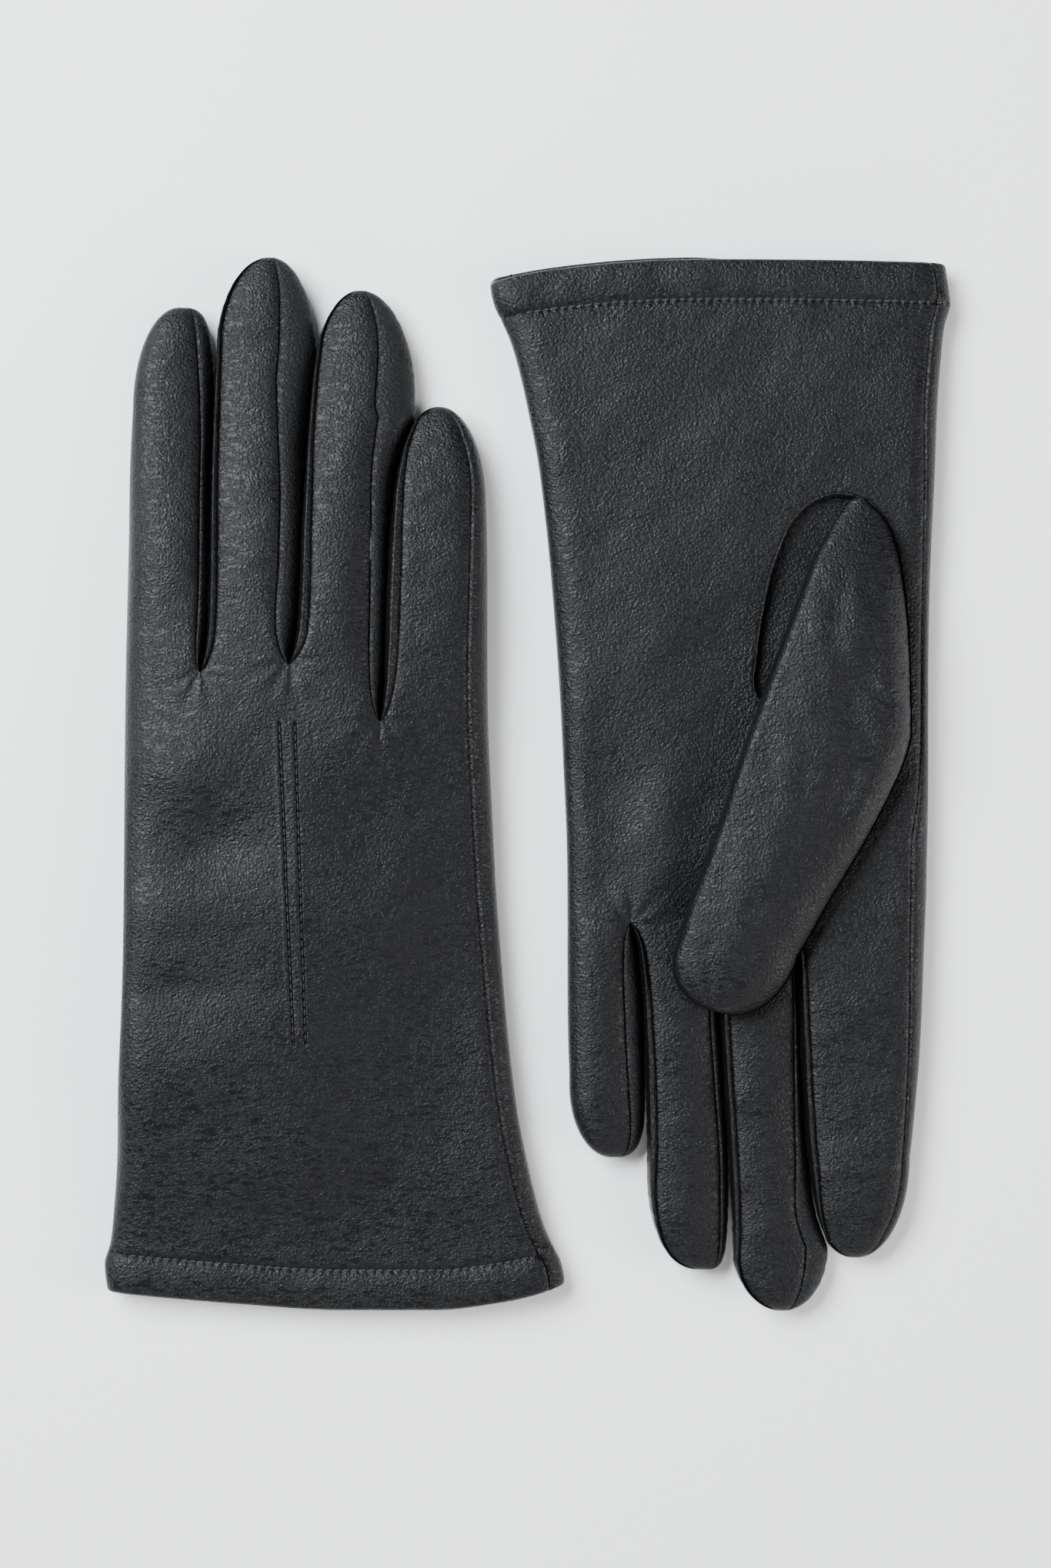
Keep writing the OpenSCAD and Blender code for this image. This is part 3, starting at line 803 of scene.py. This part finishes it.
def seam_stitches(g):
    """Stitches in the side seams that close the hand's two panels."""
    pairs = []
    for i, low in ((0, True), (3, False)):
        wrap = GLOVES[g]["low_wrap" if low else "high_wrap"]
        for at in np.arange(HEM + 1, 150, STITCH):
            v = np.array([at + 0.35, at + 1.65])
            for top in (True, False):
                if (wrap is not None) == top:
                    u, z = outer_columns(g, i, v, low, top)
                    pairs.append(to_frame(g, u[:, 1], v, z[:, 1] + (-0.12 if top else 0.12)))
    piece = stitches(f"{g}_side_stitches", pairs, 0.00014)
    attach(piece, f"{g}_hand")
    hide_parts(f"{g}_side_seams")


def pintucks(g):
    """A strip of the back with two rows of stitching sunk into it, and the band between them standing up."""
    v = np.arange(TUCK_LOW - 5, TUCK_HIGH + 5, 0.4)[:, None]
    beside = np.linspace(-6.3, 6.3, 111)[None, :]
    u = tuck_middle(v) + beside
    ends = smooth(TUCK_LOW - 0.6, TUCK_LOW + 0.6, v) * (1 - smooth(TUCK_HIGH - 0.4, TUCK_HIGH + 0.8, v))
    gathered = 1 + 0.22 * np.cos(WAVE * v / STITCH)
    rise = 0.0
    lines = []
    for (high_u, high_v), (low_u, low_v) in TUCKS:
        line = low_u + (high_u - low_u) * (v - low_v) / (high_v - low_v)
        rise = rise - 0.56 * gathered * np.exp(-((u - line) / 0.30) ** 2)
        rise = rise + 0.12 * np.exp(-((u - line + 0.85) / 0.5) ** 2)
        lines.append(line)
    across = (u - lines[0]) / (lines[1] - lines[0])
    rise = rise + 0.22 * np.sin(math.pi * np.clip(across, 0, 1)) ** 0.8
    outside = np.maximum(np.maximum(TUCK_LOW - v, v - TUCK_HIGH), np.abs(beside) - 1.4)
    out = tuck_bed(u, v) + rise * ends + 0.012 - 0.03 * smooth(3.7, 4.8, outside)
    top = g == "right"
    sheet = grid(g, u, v * np.ones_like(u), beyond(g, u, v, top, out), not top)
    strip = build(f"{g}_pintuck_pleats", [sheet], [SKIN])
    pairs = []
    for (high_u, high_v), (low_u, low_v) in TUCKS:
        for at in np.arange(low_v + 1, high_v - 1, STITCH):
            ends_v = np.array([at + 0.2, at + 1.7])
            ends_u = low_u + (high_u - low_u) * (ends_v - low_v) / (high_v - low_v)
            ends_z = beyond(g, ends_u, ends_v, top, tuck_bed(ends_u, ends_v) - 0.34)
            pairs.append(to_frame(g, ends_u, ends_v, ends_z))
    for piece in (strip, stitches(f"{g}_pintuck_stitches", pairs, 0.00015)):
        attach(piece, f"{g}_hand")
        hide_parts(f"{g}_pintucks")


THUMB_H = 8.6           # thickness of the thumb
THUMB_TIP = -1.5        # its tip is this far beside the axis
OVER_PALM = 10.2        # height of the left thumb's underside
UNDER_PALM = 8.15       # height of the right thumb's upper side, where it lies under the hand
UNDER_SQUASH = 0.86     # how much the hand's weight flattens that thumb
# The thumb's two long edges, as (distance along its axis from the foot, distance beside the axis).
thumb_high = curve((-0.6, 2.4), (0.4, 4.2), (3, 5.6), (8, 7.2), (17.5, 9.2), (26.6, 9.9), (38.3, 10.6),
                   (50.6, 11.2), (62.3, 11.8), (80.5, 12), (89.7, 12.3), (98.3, 12.9), (105.7, 13.2),
                   (112, 13.1))
thumb_low = curve((-0.6, 2.2), (0.4, 0.4), (1.6, -2.4), (4.7, -6.2), (9.1, -9.4), (17.7, -13.7),
                  (25.1, -16.7), (41.1, -22.3), (47, -24.2), (51.5, -25.2), (56.4, -25.2), (61, -24.7),
                  (66.7, -23.9), (76.6, -22), (84.5, -20.1), (92.9, -18), (100.6, -16.4), (106.4, -15))


def thumb_sides(s):
    """The thumb's low and high side at distance s along it, closing to its tip."""
    sides = []
    for edge, start, power in ((thumb_low, 106.4, 2.1), (thumb_high, 112.0, 2.6)):
        t = np.clip((s - start) / (THUMB_LEN - start), 0, 1)
        closed = THUMB_TIP + (edge(np.array(start)) - THUMB_TIP) * (1 - t ** power) ** (1 / power)
        sides.append(np.where(s > start, closed, edge(s)))
    return sides


def thumb_place(g, s, t, h):
    """u, v and z of a point of the thumb, s along its axis, t beside it and h above its inner face."""
    u = THUMB_FOOT[0] + s * THUMB_DIR[0] + t * THUMB_SIDE[0]
    v = THUMB_FOOT[1] + s * THUMB_DIR[1] + t * THUMB_SIDE[1]
    return u, v, OVER_PALM + h if g == "left" else UNDER_PALM - h * UNDER_SQUASH


def thumb_height(s, x):
    """Height of the thumb's outer face above its inner one. x runs from -1 to 1 across the thumb."""
    rise = 0.9 + (THUMB_H - 0.9) * smooth(-8, 34, s)
    dome = 0.74 + 0.26 * (1 - x * x) + 0.05 * x
    t = (x + 1) / 2 * 34 - 20
    folds = (-0.9 * bump(s, t, 44, -6, 9, 5) + 0.5 * bump(s, t, 52, -15, 14, 5)
             - 0.7 * bump(s, t, 66, -10, 9, 3)
             + 0.4 * bump(s, t, 92, 0, 14, 8) - 0.5 * bump(s, t, 28, 2, 10, 4))
    wrinkled = bump(s, t, 46, -15, 20, 9)
    wrinkles = 0.30 * ripples(s * 1.2, t * 0.7, 51, 4.4) * wrinkled + 0.14 * ripples(s, t, 57, 8)
    crest = 0.55 * np.exp(-(1 - x) * 12)
    return rise * dome + (folds + wrinkles) * smooth(10, 30, s) + crest * smooth(5, 30, s)


def thumb_sheet(g, upper):
    """u, v and z of the thumb's outer face, or of its face against the palm."""
    s = np.concatenate([np.linspace(-0.6, 4, 10), np.arange(4.6, 106, 0.65)])
    s = np.concatenate([s, s[-1] + (THUMB_LEN - s[-1]) * np.sin(np.linspace(0, math.pi / 2, 34))[1:]])
    low, high = thumb_sides(s)
    wide = high - low
    q = np.linspace(0, 1, 13)[None, :]
    away = q * math.pi / 2
    reach = 1 - np.cos(away) ** SHOULDER
    lift = np.sin(away) ** SHOULDER
    low_r, high_r = np.minimum(7.0, 0.42 * wide)[:, None], np.minimum(2.4, 0.42 * wide)[:, None]
    share = np.linspace(0, 1, 32)[None, 1:-1]
    inner_low, inner_high = low[:, None] + low_r, high[:, None] - high_r
    t = np.hstack([low[:, None] + reach * low_r, inner_low + (inner_high - inner_low) * share,
                   (high[:, None] - reach * high_r)[:, ::-1]])
    raised = np.hstack([lift * np.ones_like(low_r), np.ones((len(s), share.shape[1])),
                        (lift * np.ones_like(high_r))[:, ::-1]])
    x = np.clip((t - low[:, None]) / np.maximum(wide[:, None], 0.01) * 2 - 1, -1, 1)
    rows = s[:, None]
    closing = np.clip((rows - 104) / (THUMB_LEN - 104), 0, 1)
    closing = (1 - closing ** 2.4) ** (1 / 2.4)
    face = thumb_height(rows, x)
    middle = face * 0.42
    h = middle + (face - middle) * raised * closing if upper else middle - (middle - 0.05) * raised * closing
    seam = np.abs(t - t[:, :1]) + np.abs(h - h[:, :1])
    tuck = (roll(seam) + stitch_dip(seam, rows)) * closing * smooth(0, 6, rows)
    h = h - tuck if upper else h + tuck
    first_h = h[:, :1] + (-0.9 if upper else 0.9) * closing
    return thumb_place(g, rows, np.hstack([t[:, :1], t]), np.hstack([first_h, h]))


def thumb(g):
    """The thumb's two leathers, its knitted lining and the stitches along its seam."""
    body = f"{g}_thumb"
    for upper, part in ((True, "stall"), (False, "underside")):
        u, v, z = thumb_sheet(g, upper)
        sheet = grid(g, u, v, z, upper == (g == "left"))
        piece = build(f"{g}_thumb_{part}_leather", [sheet], [SKIN])
        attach(piece, body)
        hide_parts(f"{g}_thumb_{part}")
    s = np.concatenate([np.arange(16, 112, 4.0), [114, 117, 119.5, 121.5]])
    low, high = thumb_sides(s)
    mid_t, half_t = (low + high)[:, None] / 2, (high - low)[:, None] / 2 - 2.4
    face = thumb_height(s[:, None], np.zeros((len(s), 1)))
    closing = 1 - np.clip((s[:, None] - 100) / 24, 0, 1) ** 2
    angle = np.linspace(0, 2 * math.pi, 25)[None, :]
    t = mid_t + half_t * np.cos(angle)
    h = face * 0.45 + np.maximum(face * 0.45 - 1.6, 0.2) * closing * np.sin(angle)
    u, v, z = thumb_place(g, s[:, None], t, h)
    piece = build(f"{g}_thumb_lining_knit", [grid(g, u, v, z)], [LINING])
    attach(piece, body)
    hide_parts(f"{g}_thumb_lining")
    u, v, z = thumb_sheet(g, True)
    marks = np.arange(12, 150, 3)
    pairs = [to_frame(g, u[[a, a + 2], 1], v[[a, a + 2], 1], z[[a, a + 2], 1]) for a in marks]
    piece = stitches(f"{g}_thumb_stitches", pairs, 0.00014)
    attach(piece, body)
    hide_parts(f"{g}_thumb_seam")


def gusset(g):
    """The leather set into the palm round the thumb: a turned edge, then a pocket under the thumb."""
    angle = np.linspace(0, 2 * math.pi, 181)[:, None]
    wrapped = np.arctan2(np.sin(angle), np.cos(angle))
    radius = gusset_edge(wrapped)
    inward = np.array([-0.55, -0.5, -0.35, -0.1, 0.15, 0.4, 0.6, 0.9, 1.4, 2.2, 3.2, 4.5])[None, :]
    rise = np.array([-0.4, 0.05, 0.3, 0.42, 0.36, 0.1, -0.25, -0.7, -1.0, -1.25, -1.35, -1.4])[None, :]
    share = np.linspace(1, 0, 9)[None, 1:]
    r = np.hstack([radius - inward, (radius - 4.5) * share])
    inward = np.hstack([inward, np.full((1, 8), 5.0)])
    rise = np.hstack([rise, np.full((1, 8), -1.4)])
    u = GUSSET_MIDDLE[0] + r * np.cos(angle)
    v = GUSSET_MIDDLE[1] + r * np.sin(angle)
    arc = angle * 20        # the seam's radius is about 20
    puckered = 0.10 * np.cos(WAVE * arc / STITCH) * np.exp(-np.abs(inward - 0.6) / 1.2)
    edge_u = GUSSET_MIDDLE[0] + radius * np.cos(angle)
    edge_v = GUSSET_MIDDLE[1] + radius * np.sin(angle)
    height = top_height if g == "left" else bottom_height
    at_edge = height(g, edge_u, edge_v)
    level = at_edge + (np.mean(at_edge) - at_edge) * (1 - r / radius)
    z = level + (rise + puckered) * (1 if g == "left" else -1)
    piece = build(f"{g}_thumb_gusset_leather", [grid(g, u, v, z, g == "right")], [GUSSET])
    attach(piece, f"{g}_hand")
    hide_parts(f"{g}_thumb_gusset")


def make_glove(g):
    """All the pieces of one glove: the hand's pieces ride on its body, and each finger's pieces from its
    split row on are built as separate meshes.
    """
    hand = f"{g}_hand"
    side_names = {True: "back", False: "palm"} if g == "right" else {True: "palm", False: "back"}
    grids = {True: [], False: []}
    gaps = {0: [], 1: [], 2: []}
    for i, finger in enumerate(FINGERS):
        v = rows_of(g, i)
        split = int(np.argmin(np.abs(v - (FLEX_V[finger] - FLEX_HALF))))
        start_v, end_v = v[split], FLEX_V[finger] + FLEX_HALF
        middle = float(np.mean([s[split] for s in finger_sides(g, i, v)]))
        ends = [tuple(to_frame(g, np.array(middle), np.array(w), np.array(FLEX_Z))) for w in (start_v, end_v)]
        body = f"{g}_{finger}"
        sheets = {}
        for top in (True, False):
            u, z = finger_sheet(g, i, v, top)
            grids[top].append(grid(g, u[:split + 1], v[:split + 1], z[:split + 1], not top))
            sheets[top] = build(f"{body}_{side_names[top]}_leather",
                                [grid(g, u[split:], v[split:], z[split:], not top)], [SKIN])
        strips = []
        for low in (True, False):
            if is_outer(i, low):
                continue
            k = i - 1 if low else i
            skin = 0 if low == (GLOVES[g]["ridge"] < 0) else 1
            begin = int(np.searchsorted(v, GLOVES[g]["crotch"][k])) - 1
            u, z = fourchette(g, i, v, low)
            gaps[k].append(grid(g, u[begin:split + 1], v[begin:split + 1], z[begin:split + 1], low, skin))
            strips.append(grid(g, u[split:], v[split:], z[split:], low, skin))
        strip = build(f"{body}_fourchette_leather", strips, [SKIN, GUSSET])
        tube = build(f"{body}_lining_knit", finger_lining(g, i, v[split:]), [LINING])
        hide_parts(f"{body}_sheath")
        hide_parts(f"{body}_fourchettes")
        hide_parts(f"{body}_lining")
        for piece in (*sheets.values(), strip, tube):
            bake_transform(piece)
    for top in (True, False):
        piece = build(f"{g}_{side_names[top]}_leather", grids[top], [SKIN])
        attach(piece, hand)
        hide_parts(f"{g}_{side_names[top]}_panel")
        hand_lining(g, top, side_names[top])
    for k in range(3):
        name = f"{g}_{FINGERS[k]}_{FINGERS[k + 1]}_fourchette"
        piece = build(f"{name}_leather", gaps[k], [SKIN, GUSSET])
        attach(piece, hand)
        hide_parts(name)
    hem(g)
    seam_stitches(g)
    pintucks(g)
    gusset(g)
    thumb(g)


for glove_name in GLOVES:
    make_glove(glove_name)


# -------------------- camera, light and floor
def look_down(x, y, plane_z, field_h, lens=85.0, sensor=36.0):
    """A camera straight above (x, y) that sees a field of that height on the plane at plane_z."""
    data = bpy.data.cameras.new("camera")
    data.lens = lens
    data.sensor_width = sensor
    camera = bpy.data.objects.new("camera", data)
    camera.location = (x, y, plane_z + field_h * lens / sensor)
    bpy.context.scene.collection.objects.link(camera)
    bpy.context.scene.camera = camera


def softbox(name, location, size, power, colour):
    """A rectangular area light that faces the frame's origin."""
    data = bpy.data.lights.new(name, "AREA")
    data.shape = "RECTANGLE"
    data.size, data.size_y = size
    data.energy = power
    data.color = colour
    lamp = bpy.data.objects.new(name, data)
    lamp.location = location
    lamp.rotation_euler = (-Vector(location)).to_track_quat("-Z", "Y").to_euler()
    bpy.context.scene.collection.objects.link(lamp)


look_down(x=-0.00045, y=0.0, plane_z=0.011, field_h=0.3668)
softbox("key", (-0.62, 0.44, 0.88), (0.9, 0.7), 50, (0.92, 0.96, 1.0))
softbox("top", (0.35, -0.25, 1.10), (0.5, 0.5), 1.2, (1.0, 0.99, 1.0))
softbox("side", (1.0, -0.2, 0.50), (0.4, 0.9), 14, (1.0, 1.0, 1.0))
softbox("low", (0.1, -1.1, 0.40), (1.4, 0.3), 9, (1.0, 1.0, 1.0))

world = bpy.data.worlds.new("studio")
bpy.context.scene.world = world
world.use_nodes = True
glow = world.node_tree.nodes["Background"]
glow.inputs["Color"].default_value = (1, 1, 1, 1)
glow.inputs["Strength"].default_value = 0.06

FLOOR_HALF, FLOOR_Z = 3, -0.0002
corners = [(x * FLOOR_HALF, y * FLOOR_HALF, FLOOR_Z) for x, y in ((-1, -1), (1, -1), (1, 1), (-1, 1))]
floor_mesh = bpy.data.meshes.new("floor")
floor_mesh.from_pydata(corners, [], [(0, 1, 2, 3)])
floor = bpy.data.objects.new("floor", floor_mesh)
bpy.context.scene.collection.objects.link(floor)
paper, _, _, paper_shader, _ = new_material("paper", 0.9)
paper_shader.inputs["Base Color"].default_value = (0.9, 0.9, 0.9, 1)
floor_mesh.materials.append(paper)
